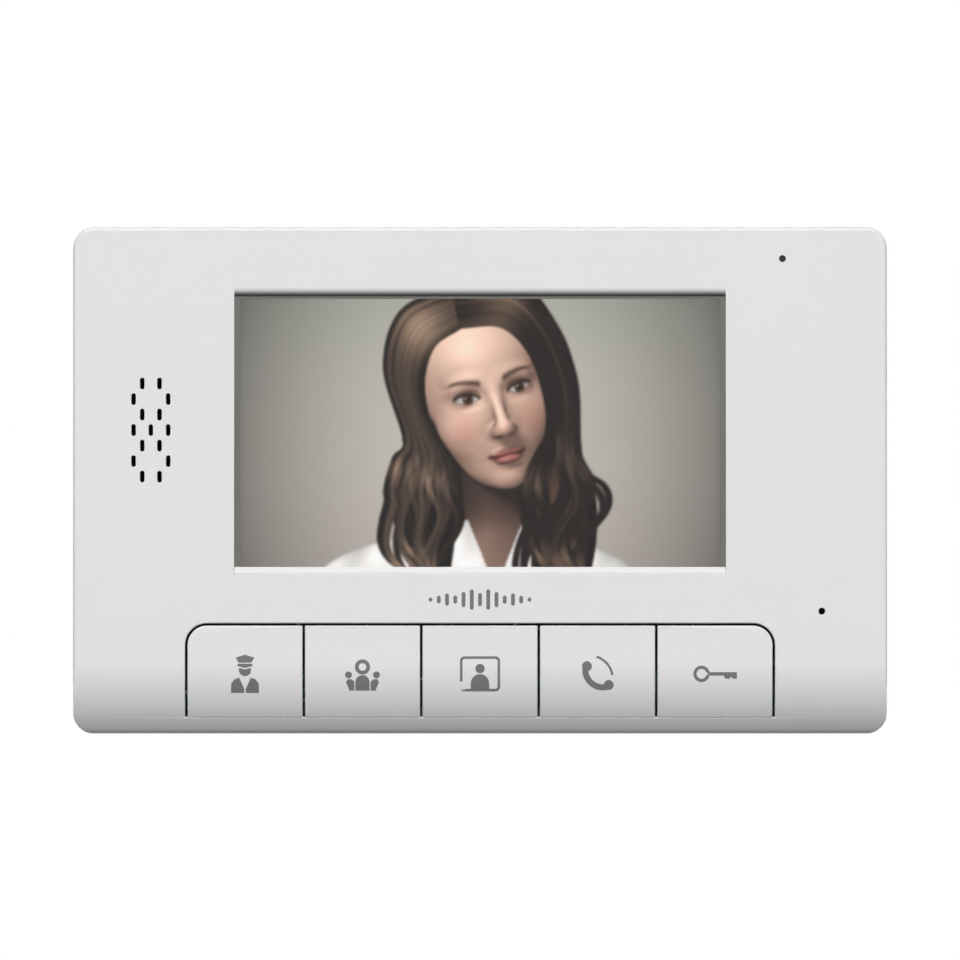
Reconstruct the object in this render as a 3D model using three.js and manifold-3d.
// Video intercom monitor: a hands-free wall panel with a 4.3 inch screen and five flexing keys,
// hung on a steel wall bracket. Millimetres, +Z up, +X to the viewer's right, face towards -Y,
// wall in the plane y = 0. The origin is the middle of the bracket's back face.
//
// Every piece is drawn lying on its back: x to the right, y up the face, and z "out" from the wall
// towards the viewer. One turned group at the end stands the whole assembly upright.
import * as THREE from "three";
import { mergeVertices } from "three/addons/utils/BufferGeometryUtils.js";
import Module from "manifold-3d";

const wasm = await Module();
wasm.setup();

// ---------------------------------------------------------------- driving dimensions

const BODY = { width: 160, height: 99.6, depth: 24, corner: 4, edge: 1, wall: 2.2 };
const ROLL = { rise: 13.8, radius: 18.4, foot: 1.2 }; // the lower front rolls back to the wall
const SEAM = { out: 11, gap: 0.2, lip: 0.9, reach: 1.5 }; // where the two covers meet
const REAR = { rim: 0.6, back: 4.4, floor: 2 }; // rear cover: rim, recessed back, its thickness
const SCREEN = { y: 9.5, width: 97.2, height: 56, bevel: 1.3, land: 1.5 };
const WINDOW = { width: 101, height: 60.5, back: 20.7, thick: 1.5 };
const LCD = { width: 105.5, height: 67.2, front: 20.1, thick: 2.9, topBorder: 3.9 };
const ACTIVE = { width: 95.04, height: 53.86 }; // the 4.3 inch picture
const HOLDER = { front: 17.1, thick: 1.2, rim: 9 };
const BOARD = { width: 132, height: 90.5, y: 0.75, front: 12.9, thick: 1.6 };
const KEYS = { count: 5, pitch: 23.1, gap: 0.5, slotY: -28.3, footY: -46.5, corner: 4.1 };
const HINGE_GAP = 0.3; // clear line along each key's lower edge, where its film hinge runs
const SWITCH = { size: 6, height: 3.5, stemRadius: 1.7, stemTop: 17.9, y: -33 };
const SPEAKER = { x: -64.7, y: 9.9, width: 20, height: 30, front: 21.1 };
const GRILLE = { slotWidth: 0.95, slotHeight: 2.4, stepX: 1.7, stepY: 3.05 };
const MIC = { x: 67.2, y: -25.7, hole: 0.8, radius: 3, collar: 4.4 };
const LAMP = { x: 59.45, y: 43.6, hole: 0.8 };
const PLATE = { width: 116, height: 72, thick: 1.2, corner: 4 }; // the wall bracket
const CABLE = { width: 44, bottom: -29, top: -6 }; // the bracket's window for the wall cable
const HOOK = { x: 46, width: 10, reach: 8.2, rise: 7, lift: 6.5, arms: [18, -24] };
const TERMINAL = { poles: 6, pitch: 3.81, height: 9, y: -12, thick: 8 };
const WIRE_BAY = { width: 30, bottom: -24, top: -6 }; // the rear cover's window over the terminals

const CASE_POSTS = fourCorners(71, 40, -40);
const BOARD_POSTS = fourCorners(59.5, 35, -19);
const HOLDER_POSTS = [[-40, 43.8], [40, 43.8], [-56, -12], [56, -12]];
const CAPACITORS = [[60, 22], [60, 12], [60, 2]];

// Small clearances between stacked or sliding pieces.
const TOUCH = 0.05;
const EASY = 0.3;

// Sizes worked out from the ones above.
const HALF = { x: BODY.width / 2, y: BODY.height / 2 };
const INNER_FACE = BODY.depth - BODY.wall;
const ROLL_Y = ROLL.rise - HALF.y;
const LCD_BACK = LCD.front - LCD.thick;
const LCD_Y = SCREEN.y + ACTIVE.height / 2 + LCD.topBorder - LCD.height / 2;
const BOARD_BACK = BOARD.front - BOARD.thick;
const KEY_X = [...Array(KEYS.count).keys()].map((i) => (i - (KEYS.count - 1) / 2) * KEYS.pitch);
const FIELD_HALF = (KEYS.count * KEYS.pitch) / 2;

function fourCorners(x, top, bottom) {
  return [[-x, top], [x, top], [-x, bottom], [x, bottom]];
}

// ---------------------------------------------------------------- solids from geometries

// A closed three.js geometry as a solid that can be joined and cut.
function solid(geometry) {
  const bare = geometry.index ? geometry.toNonIndexed() : geometry.clone();
  bare.deleteAttribute("normal");
  bare.deleteAttribute("uv");
  const merged = mergeVertices(bare, 1e-4);
  const vertProperties = merged.attributes.position.array;
  const triVerts = new Uint32Array(merged.index.array);
  return new wasm.Manifold(new wasm.Mesh({ numProp: 3, vertProperties, triVerts }));
}

// A solid back as a geometry with flat-shaded faces.
function geometryOf(body) {
  const { vertProperties, triVerts } = body.getMesh();
  const geometry = new THREE.BufferGeometry();
  geometry.setAttribute("position", new THREE.BufferAttribute(vertProperties.slice(), 3));
  geometry.setIndex(new THREE.BufferAttribute(triVerts.slice(), 1));
  const faceted = geometry.toNonIndexed();
  faceted.computeVertexNormals();
  return faceted;
}

const join = (...bodies) => bodies.flat().reduce((a, b) => a.add(b));
const cut = (body, ...tools) => tools.flat().reduce((a, b) => a.subtract(b), body);

// A rectangle with round corners, centred on (x, y).
function roundedRect(width, height, radius, x = 0, y = 0) {
  const [w, h] = [width / 2 - radius, height / 2 - radius];
  const shape = new THREE.Shape();
  shape.absarc(x + w, y + h, radius, 0, Math.PI / 2);
  shape.absarc(x - w, y + h, radius, Math.PI / 2, Math.PI);
  shape.absarc(x - w, y - h, radius, Math.PI, 1.5 * Math.PI);
  shape.absarc(x + w, y - h, radius, 1.5 * Math.PI, 2 * Math.PI);
  return shape;
}

// A slot with round ends, as wide or as high as given.
const slot = (width, height, x, y) => roundedRect(width, height, Math.min(width, height) / 2 - 1e-3, x, y);

// A flat plate of that outline, from one distance off the wall to another.
function plate(shape, low, high, curveSegments = 4) {
  const options = { depth: high - low, bevelEnabled: false, curveSegments };
  return solid(new THREE.ExtrudeGeometry(shape, options).translate(0, 0, low));
}

// The same with both rims eased by a chamfer (one step) or a fillet (more steps).
function easedPlate(shape, low, high, edge, steps, curveSegments = 4) {
  const bevel = { bevelSize: edge, bevelThickness: edge, bevelOffset: -edge, bevelSegments: steps };
  const options = { depth: high - low - 2 * edge, curveSegments, ...bevel };
  return solid(new THREE.ExtrudeGeometry(shape, options).translate(0, 0, low + edge));
}

// A ring between two rounded rectangles.
function ring(width, height, radius, thick, low, high, x = 0, y = 0) {
  const outer = plate(roundedRect(width, height, radius, x, y), low, high);
  const [w, h] = [width - 2 * thick, height - 2 * thick];
  const hole = roundedRect(w, h, Math.max(radius - thick, 0.2), x, y);
  return cut(outer, plate(hole, low - 1, high + 1));
}

function block(width, height, low, high, x = 0, y = 0) {
  const box = new THREE.BoxGeometry(width, height, high - low);
  return solid(box.translate(x, y, (low + high) / 2));
}

// A block whose sides flare out at 45 degrees from its foot, by the flare, then stand straight.
function flaredBlock(width, height, flare, low, high, x, y) {
  const shape = new THREE.Shape();
  shape.moveTo(x - width / 2, y - height / 2);
  shape.lineTo(x + width / 2, y - height / 2);
  shape.lineTo(x + width / 2, y + height / 2);
  shape.lineTo(x - width / 2, y + height / 2);
  const bevel = { bevelSize: flare, bevelThickness: flare, bevelSegments: 1 };
  const options = { depth: high - low - flare, ...bevel };
  return solid(new THREE.ExtrudeGeometry(shape, options).translate(0, 0, low + flare));
}

function rod(radius, low, high, x = 0, y = 0, sides = 16) {
  const cylinder = new THREE.CylinderGeometry(radius, radius, high - low, sides);
  return solid(cylinder.rotateX(Math.PI / 2).translate(x, y, (low + high) / 2));
}

// A turned piece about the "out" axis, from [radius, out] pairs that start and end on the axis.
function turned(profile, sides = 16) {
  const points = profile.map(([radius, out]) => new THREE.Vector2(radius, out));
  return solid(new THREE.LatheGeometry(points, sides).rotateX(Math.PI / 2));
}

// A round wire along a smooth curve through [x, y, out] points.
function wire(points, radius, steps) {
  const path = new THREE.CatmullRomCurve3(points.map((p) => new THREE.Vector3(...p)));
  const section = new THREE.Shape().absarc(0, 0, radius, 0, 2 * Math.PI);
  const options = { steps, extrudePath: path, curveSegments: 6, bevelEnabled: false };
  return solid(new THREE.ExtrudeGeometry(section, options));
}

// ---------------------------------------------------------------- the covers

// The front cover's section from back to face, shrunk by an inset, with its rolled lower front.
function sideProfile(inset, back, foot) {
  const top = HALF.y - inset;
  const centre = BODY.depth - ROLL.radius;
  const radius = ROLL.radius - inset;
  const angle = Math.asin((ROLL_Y + top - foot) / (radius - foot));
  const shape = new THREE.Shape();
  shape.moveTo(back, -top);
  shape.lineTo(back, top);
  shape.lineTo(BODY.depth - inset, top);
  shape.absarc(centre, ROLL_Y, radius, 0, -angle, true);
  if (foot > 0) {
    const footCentre = centre + (radius - foot) * Math.cos(angle);
    shape.absarc(footCentre, foot - top, foot, -angle, -Math.PI / 2, true);
  }
  return shape;
}

// That section run across the body's width.
function rolledBody(inset, back, foot = 0) {
  const width = BODY.width - 2 * inset;
  const options = { depth: width, bevelEnabled: false, curveSegments: 8 };
  const prism = new THREE.ExtrudeGeometry(sideProfile(inset, back, foot), options);
  return solid(prism.rotateY(-Math.PI / 2).translate(width / 2, 0, 0));
}

const bodyOutline = (inset = 0) =>
  roundedRect(BODY.width - 2 * inset, BODY.height - 2 * inset, Math.max(BODY.corner - inset, 0.3));

// An outline that is square at its foot and may be round at its two upper corners.
function keyOutline(left, right, bottom, top, leftRadius, rightRadius) {
  const shape = new THREE.Shape();
  shape.moveTo(left, bottom);
  shape.lineTo(right, bottom);
  shape.absarc(right - rightRadius, top - rightRadius, rightRadius, 0, Math.PI / 2);
  shape.absarc(left + leftRadius, top - leftRadius, leftRadius, Math.PI / 2, Math.PI);
  return shape;
}

// Fifteen upright slots in a staggered field: even rows have two, odd rows the outer pair,
// and the middle row one more between them.
function grilleSlots() {
  const slots = [];
  for (let row = -3; row <= 3; row++) {
    const columns = row % 2 ? [-1, 1] : [-2, 2];
    const middle = row === 0 ? [0] : [];
    const wide = row % 2 === 0 ? [...columns, ...middle] : columns;
    for (const column of wide) {
      const [x, y] = [SPEAKER.x + column * GRILLE.stepX, SPEAKER.y + row * GRILLE.stepY];
      slots.push(plate(slot(GRILLE.slotWidth, GRILLE.slotHeight, x, y), 20, 26, 3));
    }
  }
  return slots;
}

function frontCover() {
  const face = easedPlate(bodyOutline(), 0, BODY.depth, BODY.edge, 3, 6);
  const outside = rolledBody(0, SEAM.out, ROLL.foot).intersect(face);
  const shell = cut(outside, rolledBody(BODY.wall, SEAM.out - 1));

  const [w, h] = [SCREEN.width - 2 * SCREEN.bevel, SCREEN.height - 2 * SCREEN.bevel];
  const sight = block(w, h, INNER_FACE - 1, BODY.depth, 0, SCREEN.y);
  const bevel = flaredBlock(w, h, SCREEN.bevel, BODY.depth - SCREEN.bevel, BODY.depth + 2, 0, SCREEN.y);
  const rebateSize = [WINDOW.width + 2 * EASY, WINDOW.height + 2 * EASY];
  const rebate = block(...rebateSize, INNER_FACE - 1, BODY.depth - SCREEN.land, 0, SCREEN.y);

  const reach = KEYS.gap / 2;
  const [side, crown] = [FIELD_HALF + reach, KEYS.slotY + reach];
  const round = KEYS.corner + reach;
  const keyField = keyOutline(-side, side, KEYS.footY, crown, round, round);
  const holes = [rod(MIC.hole, 15, 26, MIC.x, MIC.y, 12), rod(LAMP.hole, 15, 26, LAMP.x, LAMP.y, 12)];
  const skin = cut(shell, bevel, sight, rebate, plate(keyField, 10, 26, 6), holes, grilleSlots());

  // The groove that takes the rear cover's lip.
  const grooveInset = BODY.wall - SEAM.lip - SEAM.gap;
  const groove = plate(bodyOutline(grooveInset), SEAM.out - 1, SEAM.out + SEAM.reach + SEAM.gap);
  const inside = insideFeatures().intersect(rolledBody(BODY.wall / 2, SEAM.out));
  const pilots = [
    CASE_POSTS.map(([x, y]) => rod(1.5, 0, 20, x, y, 10)),
    BOARD_POSTS.map(([x, y]) => rod(1.15, 0, 20, x, y, 10)),
    HOLDER_POSTS.map(([x, y]) => rod(0.95, 0, 20.8, x, y, 10)),
  ].flat();
  return cut(join(cut(skin, groove), inside), pilots);
}

// Posts, collars and ribs that stand behind the face.
function insideFeatures() {
  const root = BODY.depth;
  const posts = [
    CASE_POSTS.map(([x, y]) => rod(3.4, SEAM.out + SEAM.gap, root, x, y, 12)),
    BOARD_POSTS.map(([x, y]) => rod(2.8, BOARD.front + TOUCH, root, x, y, 12)),
    HOLDER_POSTS.map(([x, y]) => rod(2.2, HOLDER.front + TOUCH, root, x, y, 12)),
  ].flat();
  const [collarW, collarH] = [SPEAKER.width + 2, SPEAKER.height + 2];
  const thick = 0.8;
  const speakerCollar = ring(collarW, collarH, collarW / 2 - TOUCH, thick, 18, root, SPEAKER.x, SPEAKER.y);
  const micCollar = cut(
    rod(MIC.collar + thick, 17.5, root, MIC.x, MIC.y, 16),
    rod(MIC.collar, 17, INNER_FACE, MIC.x, MIC.y, 16),
  );
  // A rib round the display on three sides; the flex leaves on the fourth.
  const [ribW, ribH] = [LCD.width + 2.6, LCD.height + 2.6];
  const rib = ring(ribW, ribH, 0.5, 1, 18.5, root, 0, LCD_Y);
  const openFoot = block(ribW + 2, 6, 0, root + 1, 0, LCD_Y - ribH / 2);
  const hollows = [
    rod(MIC.hole, 15, 26, MIC.x, MIC.y, 12),
    block(WINDOW.width + 2 * EASY, WINDOW.height + 2 * EASY, 15, 26, 0, SCREEN.y),
    plate(slot(SPEAKER.width + 0.4, SPEAKER.height + 0.4, SPEAKER.x, SPEAKER.y), 15, 26, 8),
    lampBore(),
  ];
  return cut(join(posts, speakerCollar, micCollar, cut(rib, openFoot)), hollows);
}

// The way for the light pipe through whatever stands near it.
function lampBore() {
  return rod(2.2, 10, 26, LAMP.x, LAMP.y, 12);
}

function rearCover() {
  const wallTop = SEAM.out - SEAM.gap;
  const eased = easedPlate(bodyOutline(), REAR.rim, BODY.depth, BODY.edge, 2, 6);
  const outside = eased.intersect(block(BODY.width + 2, BODY.height + 2, 0, wallTop));
  const walls = cut(outside, plate(bodyOutline(BODY.wall), -1, BODY.depth));
  const back = plate(bodyOutline(BODY.wall - 0.2), REAR.back, REAR.back + REAR.floor);
  const [lipW, lipH] = [BODY.width, BODY.height].map((s) => s - 2 * (BODY.wall - SEAM.lip));
  const lipRadius = BODY.corner - BODY.wall + SEAM.lip;
  const lip = ring(lipW, lipH, lipRadius, SEAM.lip, REAR.back + 1, SEAM.out + SEAM.reach);
  const posts = CASE_POSTS.map(([x, y]) => rod(3.6, REAR.back + 1, SEAM.out, x, y, 14));

  const wells = CASE_POSTS.map(([x, y]) => rod(3, 0, 7.4, x, y, 14));
  const bores = CASE_POSTS.map(([x, y]) => rod(1.8, 0, 13, x, y, 12));
  const bayHeight = WIRE_BAY.top - WIRE_BAY.bottom;
  const bayShape = roundedRect(WIRE_BAY.width, bayHeight, 1, 0, WIRE_BAY.bottom + bayHeight / 2);
  const bay = plate(bayShape, 0, 9, 2);
  // Each hook slot is as high as the whole hook, with its top edge resting on the hook's arm.
  const slotHeight = HOOK.rise + 1.6;
  const hookSlots = HOOK.arms.flatMap((arm) =>
    [-HOOK.x, HOOK.x].map((x) =>
      block(HOOK.width + 1, slotHeight, 0, 9, x, arm + PLATE.thick + 0.1 - slotHeight / 2),
    ),
  );
  const vents = [-3, -2, -1, 0, 1, 2, 3].flatMap((i) =>
    [-42, 42].map((y) => plate(slot(2.4, 6.5, i * 8, y), 0, 9, 3)),
  );
  return cut(join(walls, back, lip, posts), wells, bores, bay, hookSlots, vents);
}

// ---------------------------------------------------------------- wall bracket

// One hook: an arm out from the plate and a tongue turned up behind the rear cover's wall.
function hook(x, arm) {
  const level = arm + PLATE.thick / 2;
  const bridge = block(HOOK.width, PLATE.thick, 0.5, HOOK.reach, x, level);
  const tongueFoot = HOOK.reach - PLATE.thick;
  const tongue = block(HOOK.width, HOOK.rise, tongueFoot, HOOK.reach, x, arm + HOOK.rise / 2);
  return join(bridge, tongue);
}

function wallBracket() {
  const sheet = plate(roundedRect(PLATE.width, PLATE.height, PLATE.corner), 0, PLATE.thick, 5);
  const cableHeight = CABLE.top - CABLE.bottom;
  const cableShape = roundedRect(CABLE.width, cableHeight, 3, 0, CABLE.bottom + cableHeight / 2);
  const cableWindow = plate(cableShape, -1, 2, 4);
  const places = HOOK.arms.flatMap((arm) => [-HOOK.x, HOOK.x].map((x) => [x, arm]));
  // The sheet that each hook was folded out of leaves a window above its arm.
  const folded = 12;
  const foldWindows = places.map(([x, arm]) =>
    block(HOOK.width + 0.8, folded, -1, 2, x, arm + PLATE.thick + folded / 2),
  );
  const boxSlots = [-30, 30].map((x) => plate(slot(9, 4, x, 0), -1, 2, 4));
  const wallHoles = fourCorners(33, 30, -30).map(([x, y]) => rod(2, -1, 2, x, y, 12));
  const hooks = places.map(([x, arm]) => hook(x, arm));
  return join(cut(sheet, cableWindow, foldWindows, boxSlots, wallHoles), hooks);
}

// ---------------------------------------------------------------- keys and switches

// One key: a tongue of the front cover's own skin, with a plunger behind it. Drawn about its own
// middle; the outer keys have one round upper corner.
function key(index) {
  const half = (KEYS.pitch - KEYS.gap) / 2;
  const [bottom, top] = [KEYS.footY + HINGE_GAP, KEYS.slotY - KEYS.gap / 2];
  const [round, sharp] = [KEYS.corner - KEYS.gap / 2, 0.2];
  const corners = [index === 0 ? round : sharp, index === KEYS.count - 1 ? round : sharp];
  const outline = plate(keyOutline(-half, half, bottom, top, ...corners), 5, 26, 5);
  const skin = rolledBody(0, SEAM.out, ROLL.foot).subtract(rolledBody(BODY.wall, SEAM.out - 1));
  const plunger = rod(1.6, SWITCH.stemTop + 2 * TOUCH, INNER_FACE + 0.5, 0, SWITCH.y, 12);
  const ribs = [-6, 6].map((x) => block(0.9, 13, INNER_FACE - 1.2, INNER_FACE + 0.5, x, -36));
  const stiffeners = join(ribs).intersect(rolledBody(BODY.wall / 2, SEAM.out));
  return join(skin.intersect(outline), plunger, stiffeners);
}

// A push switch's housing on the board, drawn about its own middle.
function switchBody() {
  const [foot, top] = [BOARD.front + TOUCH, BOARD.front + SWITCH.height];
  const housing = block(SWITCH.size, SWITCH.size, foot, top);
  return cut(housing, rod(SWITCH.stemRadius + 0.15, top - 1.9, top + 1, 0, 0, 14));
}

const switchStem = () => rod(SWITCH.stemRadius, BOARD.front + 2.2, SWITCH.stemTop, 0, 0, 14);

// ---------------------------------------------------------------- display

const screenWindow = () =>
  plate(roundedRect(WINDOW.width, WINDOW.height, 1), WINDOW.back, WINDOW.back + WINDOW.thick, 2);

// Adhesive frame between the window and the front cover.
function windowTape() {
  const front = BODY.depth - SCREEN.land - TOUCH;
  const back = WINDOW.back + WINDOW.thick + TOUCH;
  return ring(WINDOW.width - 0.6, WINDOW.height - 0.6, 0.8, 2.2, back, front);
}

// Foam frame that keeps dust out between the window and the display.
const screenGasket = () =>
  ring(LCD.width - 5, WINDOW.height - 0.4, 0.8, 2, LCD.front + TOUCH, WINDOW.back - TOUCH);

// Steel frame folded round the display: a front lip and four sides.
function lcdBezel() {
  const sheet = 0.3;
  const can = ring(LCD.width, LCD.height, 0.6, sheet, LCD_BACK + 0.2, LCD.front, 0, LCD_Y);
  const lip = plate(roundedRect(LCD.width, LCD.height, 0.6, 0, LCD_Y), LCD.front - sheet, LCD.front, 2);
  const sight = block(ACTIVE.width + 2, ACTIVE.height + 2, 0, 30, 0, SCREEN.y);
  return join(can, cut(lip, sight));
}

const lcdCell = () =>
  block(LCD.width - 1.4, LCD.height - 3, LCD.front - 1.35, LCD.front - 0.35, 0, LCD_Y + 0.8);

const backlight = () =>
  block(LCD.width - 1, LCD.height - 1, LCD_BACK, LCD.front - 1.4, 0, LCD_Y);

// Flat flex out of the display's lower edge, turned back up to the board's connector.
function lcdFlex() {
  const [width, thick] = [22, 0.3];
  const [front, back, turnY, endY] = [LCD_BACK - 0.1, BOARD.front + 1.1, -24.8, -23.4];
  const middle = (front + back) / 2;
  const radius = (front - back) / 2;
  const shape = new THREE.Shape();
  shape.moveTo(front, endY);
  shape.absarc(middle, turnY, radius, 0, -Math.PI, true);
  shape.lineTo(back, endY);
  shape.lineTo(back + thick, endY);
  shape.absarc(middle, turnY, radius - thick, -Math.PI, 0, false);
  shape.lineTo(front - thick, endY);
  const options = { depth: width, bevelEnabled: false, curveSegments: 8 };
  const ribbon = new THREE.ExtrudeGeometry(shape, options);
  return solid(ribbon.rotateY(-Math.PI / 2).translate(width / 2, 0, 0));
}

// Moulded frame that clamps the display, with an ear at each post and a gap for the flex.
function lcdHolder() {
  const [low, high] = [HOLDER.front - HOLDER.thick, HOLDER.front];
  const frame = ring(LCD.width + 1, LCD.height + 1, 1, HOLDER.rim, low, high, 0, LCD_Y);
  const ears = HOLDER_POSTS.map(([x, y]) => {
    const top = y > LCD_Y + LCD.height / 2;
    const inner = top ? block(6, 5, low, high, x, y - 2.5) : block(5, 6, low, high, x * 0.96, y);
    return join(rod(3, low, high, x, y, 14), inner);
  });
  const flexGap = block(25, 14, low - 1, high + 1, 0, LCD_Y - LCD.height / 2);
  const bores = HOLDER_POSTS.map(([x, y]) => rod(1.2, low - 1, high + 1, x, y, 12));
  return cut(join(frame, ears), flexGap, bores);
}

// ---------------------------------------------------------------- main board and what it carries

function mainBoard() {
  const shape = roundedRect(BOARD.width, BOARD.height, 2, 0, BOARD.y);
  const bores = BOARD_POSTS.map(([x, y]) => rod(1.5, 0, 20, x, y, 12));
  return cut(plate(shape, BOARD_BACK, BOARD.front, 3), bores);
}

// Can capacitor with a square foot, drawn about its own axis.
function capacitor() {
  const foot = BOARD.front + TOUCH;
  const [low, brim, top] = [foot + 0.5, foot + 7, foot + 7.4];
  const can = turned([[0, low], [3.1, low], [3.1, brim], [2.7, top], [0, top]]);
  return join(can, block(6.4, 6.4, foot, foot + 0.9));
}

// Shielded coil, drawn about its own middle.
function powerCoil() {
  const foot = BOARD.front + TOUCH;
  const core = plate(roundedRect(7, 7, 1.2), foot, foot + 2.8, 3);
  return cut(core, cut(rod(2.9, foot + 2.4, foot + 4), rod(2.1, foot, foot + 5)));
}

// A flat chip package with a pin-one dimple, drawn about its own middle.
function chip(size, height) {
  const foot = BOARD.front + TOUCH;
  const pack = block(size, size, foot, foot + height);
  const dimple = rod(0.5, foot + height - 0.2, foot + height + 1, 1.4 - size / 2, size / 2 - 1.4, 8);
  return cut(pack, dimple);
}

// Flex socket with its slot along the lower edge.
function flexSocket() {
  const foot = BOARD.front + TOUCH;
  const shell = block(25, 4, foot, foot + 2, 0, -21.2);
  return cut(shell, block(22.6, 2.6, foot + 0.9, foot + 1.5, 0, -22.9));
}

// Two-pin header that a small plug drops into, drawn about its own middle.
function leadSocket() {
  const foot = BOARD.front + TOUCH;
  return cut(block(6, 4.4, foot, foot + 3.4), block(4.9, 3.3, foot + 1, foot + 5));
}

// A lead of two wires that ends in a plug in its header; the wires are given for their middle line.
function lead(points, plug) {
  const spread = 0.65;
  const wires = [-spread, spread].map((side) => wire(points.map(([x, y, z]) => [x + side, y, z]), 0.5, 12));
  const foot = BOARD.front + TOUCH + 1.1;
  return join(wires, block(4.6, 3, foot, foot + 3.2, ...plug));
}

// Screw terminals: wire mouths along the lower side, screw wells facing the wall.
function terminalBlock() {
  const width = TERMINAL.poles * TERMINAL.pitch + 1;
  const [low, high] = [BOARD_BACK - TERMINAL.thick, BOARD_BACK - TOUCH];
  const housing = block(width, TERMINAL.height, low, high, 0, TERMINAL.y);
  const first = (-(TERMINAL.poles - 1) * TERMINAL.pitch) / 2;
  const tools = [...Array(TERMINAL.poles).keys()].flatMap((i) => {
    const x = first + i * TERMINAL.pitch;
    const mouth = block(2.8, 4, low + 3.4, low + 6.2, x, TERMINAL.y - TERMINAL.height / 2);
    return [mouth, rod(1.45, low - 1, low + 2.4, x, TERMINAL.y + 0.6, 12)];
  });
  return cut(housing, tools);
}

const statusLed = () => block(3, 2, BOARD.front + TOUCH, BOARD.front + 1);

// Clear rod that carries the lamp's light to the face, stepped to sit behind it.
const lightPipe = () =>
  turned([[0, 14.2], [1.9, 14.2], [1.9, 21.5], [0.65, 21.5], [0.65, 23.7], [0, 23.7]], 14);

// ---------------------------------------------------------------- speaker and microphone

function speakerGasket() {
  const { width, height, front } = SPEAKER;
  return ring(width, height, width / 2 - TOUCH, 2, front + TOUCH, INNER_FACE - TOUCH);
}

// Stamped basket: a flange, straight sides and a back with an opening round the voice coil.
function speakerFrame() {
  const { width, height, front } = SPEAKER;
  const [flange, back] = [0.8, 4];
  const rim = plate(slot(width, height, 0, 0), front - flange, front, 8);
  const cup = plate(slot(width - 2, height - 2, 0, 0), front - back - flange, front, 8);
  const hollow = plate(slot(width - 3.6, height - 3.6, 0, 0), front - back, front + 1, 8);
  const vents = [-1, 1].map((side) => block(9, 4, 10, front - back + 0.5, 0, side * 9));
  return cut(join(rim, cup), hollow, vents, rod(4.9, 10, 20, 0, 0, 20));
}

// Pot magnet with the ring gap that the voice coil moves in.
function speakerMagnet() {
  const top = SPEAKER.front - 4.8 - TOUCH;
  const ringGap = cut(rod(4.6, top - 1.9, top + 1, 0, 0, 20), rod(3.4, top - 3, top + 2, 0, 0, 20));
  return cut(rod(6.5, top - 2.7, top, 0, 0, 24), ringGap);
}

// Diaphragm with its dust cap and voice coil, free to move in and out.
function speakerCone() {
  const { width, height, front } = SPEAKER;
  const level = front - 1.6;
  const sheet = plate(slot(width - 4.6, height - 4.6, 0, 0), level, level + 0.4, 8);
  const cap = turned([[0, level + 0.1], [4, level + 0.1], [2.9, level + 0.9], [0, level + 1.1]], 20);
  const former = rod(4.25, level - 4.5, level + 0.2, 0, 0, 20);
  const coil = cut(former, rod(3.75, level - 5, level - 0.2, 0, 0, 20));
  return join(sheet, cap, coil);
}

// Rubber boot that seals the microphone to the front cover.
function micBoot() {
  const [back, front] = [18.2, INNER_FACE - TOUCH];
  const body = rod(MIC.collar - 0.1, back, front, 0, 0, 16);
  const pocket = rod(MIC.radius + 0.1, back - 1, front - 0.7, 0, 0, 16);
  return cut(body, pocket, rod(MIC.hole, back, front + 1, 0, 0, 12));
}

const micCapsule = () => rod(MIC.radius, 18, 20.9, 0, 0, 16);

// ---------------------------------------------------------------- fasteners

// Pan-head screw pointing out from the wall, with its head's face at zero and a cross recess.
function screw(headRadius, headHeight, shankRadius, length) {
  const profile = [
    [0, 0],
    [headRadius * 0.8, 0],
    [headRadius, headHeight * 0.35],
    [headRadius, headHeight],
    [shankRadius, headHeight],
    [shankRadius, headHeight + length - shankRadius],
    [0, headHeight + length],
  ];
  const arm = headRadius * 1.1;
  const recess = join(block(arm, 0.5, -1, headHeight * 0.6), block(0.5, arm, -1, headHeight * 0.6));
  return cut(turned(profile, 12), recess);
}

// ---------------------------------------------------------------- materials

const paint = (color, roughness, metalness = 0, extra = {}) =>
  new THREE.MeshStandardMaterial({ color, roughness, metalness, ...extra });

const LOOK = {
  whitePlastic: paint(0xe3e3e3, 0.45),
  keyPlastic: paint(0xe3e3e3, 0.45),
  steel: paint(0xb9bdc0, 0.4, 1),
  blackSteel: paint(0x2b2d30, 0.5, 1),
  acrylic: paint(0xf4f8fa, 0.05, 0, { transparent: true, opacity: 0.3 }),
  tape: paint(0x1b1b1c, 0.8),
  foam: paint(0x262628, 0.95),
  displayGlass: paint(0x6d6c66, 0.2),
  milkyPlastic: paint(0xf1f1ec, 0.5),
  polyimide: paint(0xb9772c, 0.45),
  boardGreen: paint(0x1d5c3a, 0.5),
  chipBlack: paint(0x1a1b1d, 0.6),
  canAluminium: paint(0xc4c7c9, 0.3, 1),
  ferrite: paint(0x3a3b3e, 0.7),
  ivoryPlastic: paint(0xe9e2cf, 0.5),
  terminalGreen: paint(0x2f8a55, 0.5),
  blackPlastic: paint(0x202124, 0.5),
  rubber: paint(0x18181a, 0.9),
  nickel: paint(0xa9adb1, 0.35, 1),
  coneBlack: paint(0x28282a, 0.85),
  zincScrew: paint(0xc9ccd0, 0.35, 1),
  ledClear: paint(0xeef4ff, 0.15),
  wireBlack: paint(0x242426, 0.6),
};

// ---------------------------------------------------------------- assembly

// A named mesh of that solid, at [x, y, out] in its group.
function piece(name, body, material, place = [0, 0, 0]) {
  const mesh = new THREE.Mesh(geometryOf(body), material);
  mesh.name = name;
  mesh.position.set(...place);
  return mesh;
}

function groupOf(place, ...meshes) {
  const group = new THREE.Group();
  group.position.set(...place);
  group.add(...meshes.flat());
  return group;
}

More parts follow.
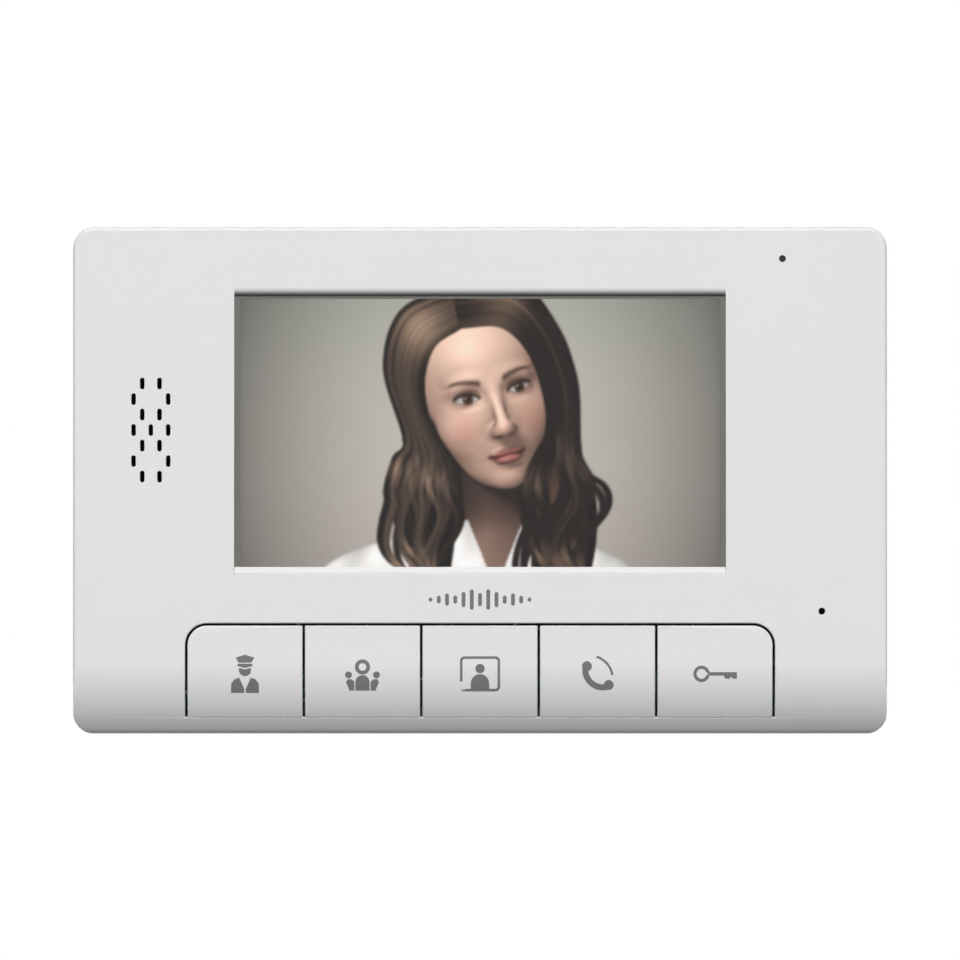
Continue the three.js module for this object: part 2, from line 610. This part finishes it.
// The same screw at each post.
function screwSet(name, posts, out, ...size) {
  return posts.map(([x, y], i) => piece(`${name}_${i + 1}`, screw(...size), LOOK.zincScrew, [x, y, out]));
}

function casing() {
  return groupOf(
    [0, 0, 0],
    piece("front_cover", frontCover(), LOOK.whitePlastic),
    piece("rear_cover", rearCover(), LOOK.whitePlastic),
    screwSet("case_screw", CASE_POSTS, 5.4, 2.7, 1.9, 1.35, 9),
  );
}

function display() {
  return groupOf(
    [0, 0, 0],
    piece("screen_window", screenWindow(), LOOK.acrylic, [0, SCREEN.y, 0]),
    piece("window_tape", windowTape(), LOOK.tape, [0, SCREEN.y, 0]),
    piece("screen_gasket", screenGasket(), LOOK.foam, [0, SCREEN.y, 0]),
    piece("lcd_bezel", lcdBezel(), LOOK.blackSteel),
    piece("lcd_cell", lcdCell(), LOOK.displayGlass),
    piece("backlight", backlight(), LOOK.milkyPlastic),
    piece("lcd_flex", lcdFlex(), LOOK.polyimide),
    piece("lcd_holder", lcdHolder(), LOOK.blackPlastic),
    screwSet("holder_screw", HOLDER_POSTS, HOLDER.front - HOLDER.thick - TOUCH - 1.2, 1.7, 1.2, 0.85, 4),
  );
}

function electronics() {
  const speakerPlug = [-62.5, -12];
  const micPlug = [59.5, -34];
  const speakerRun = [
    [-64.2, -2.6, 15.9],
    [-64.2, -4.8, 15.4],
    [-63.5, -7.2, 16.6],
    [-62.6, -10.6, 18.1],
    [-62.5, -12, 16.8],
  ];
  const micRun = [
    [66.4, -25.7, 17.9],
    [66.2, -26.4, 16],
    [64.2, -29.2, 16.2],
    [61.2, -32.8, 17.8],
    [59.5, -34, 16.8],
  ];
  return groupOf(
    [0, 0, 0],
    piece("main_board", mainBoard(), LOOK.boardGreen),
    screwSet("board_screw", BOARD_POSTS, BOARD_BACK - TOUCH - 1.6, 2.2, 1.6, 1.05, 5),
    piece("processor_chip", chip(14, 1.4), LOOK.chipBlack, [12, 16, 0]),
    piece("video_chip", chip(10, 1.2), LOOK.chipBlack, [-16, 18, 0]),
    piece("power_coil", powerCoil(), LOOK.ferrite, [32, 2, 0]),
    CAPACITORS.map(([x, y], i) => piece(`capacitor_${i + 1}`, capacitor(), LOOK.canAluminium, [x, y, 0])),
    piece("flex_socket", flexSocket(), LOOK.ivoryPlastic),
    piece("speaker_socket", leadSocket(), LOOK.ivoryPlastic, [...speakerPlug, 0]),
    piece("mic_socket", leadSocket(), LOOK.ivoryPlastic, [...micPlug, 0]),
    piece("speaker_lead", lead(speakerRun, speakerPlug), LOOK.wireBlack),
    piece("mic_lead", lead(micRun, micPlug), LOOK.wireBlack),
    piece("terminal_block", terminalBlock(), LOOK.terminalGreen),
    piece("status_led", statusLed(), LOOK.ledClear, [LAMP.x, LAMP.y, 0]),
    piece("light_pipe", lightPipe(), LOOK.ledClear, [LAMP.x, LAMP.y, 0]),
    piece("mic_boot", micBoot(), LOOK.rubber, [MIC.x, MIC.y, 0]),
    piece("mic_capsule", micCapsule(), LOOK.nickel, [MIC.x, MIC.y, 0]),
  );
}

function speaker() {
  return groupOf(
    [SPEAKER.x, SPEAKER.y, 0],
    piece("speaker_gasket", speakerGasket(), LOOK.foam),
    piece("speaker_frame", speakerFrame(), LOOK.blackSteel),
    piece("speaker_cone", speakerCone(), LOOK.coneBlack),
    piece("speaker_magnet", speakerMagnet(), LOOK.nickel),
  );
}

// Key, switch housing and stem, from left to right.
function controls() {
  const names = ["guard", "neighbour", "camera", "talk", "door"];
  return KEY_X.map((x, i) =>
    groupOf(
      [x, 0, 0],
      piece(`${names[i]}_key`, key(i), LOOK.keyPlastic),
      piece(`${names[i]}_switch`, switchBody(), LOOK.blackPlastic, [0, SWITCH.y, 0]),
      piece(`${names[i]}_stem`, switchStem(), LOOK.blackPlastic, [0, SWITCH.y, 0]),
    ),
  );
}

const lying = groupOf(
  [0, 0, 0],
  piece("wall_bracket", wallBracket(), LOOK.steel),
  casing(),
  display(),
  electronics(),
  speaker(),
  controls(),
);
lying.rotation.x = Math.PI / 2; // y up the face becomes +Z, and out from the wall becomes -Y

const intercom = new THREE.Group();
intercom.add(lying);

export default intercom;
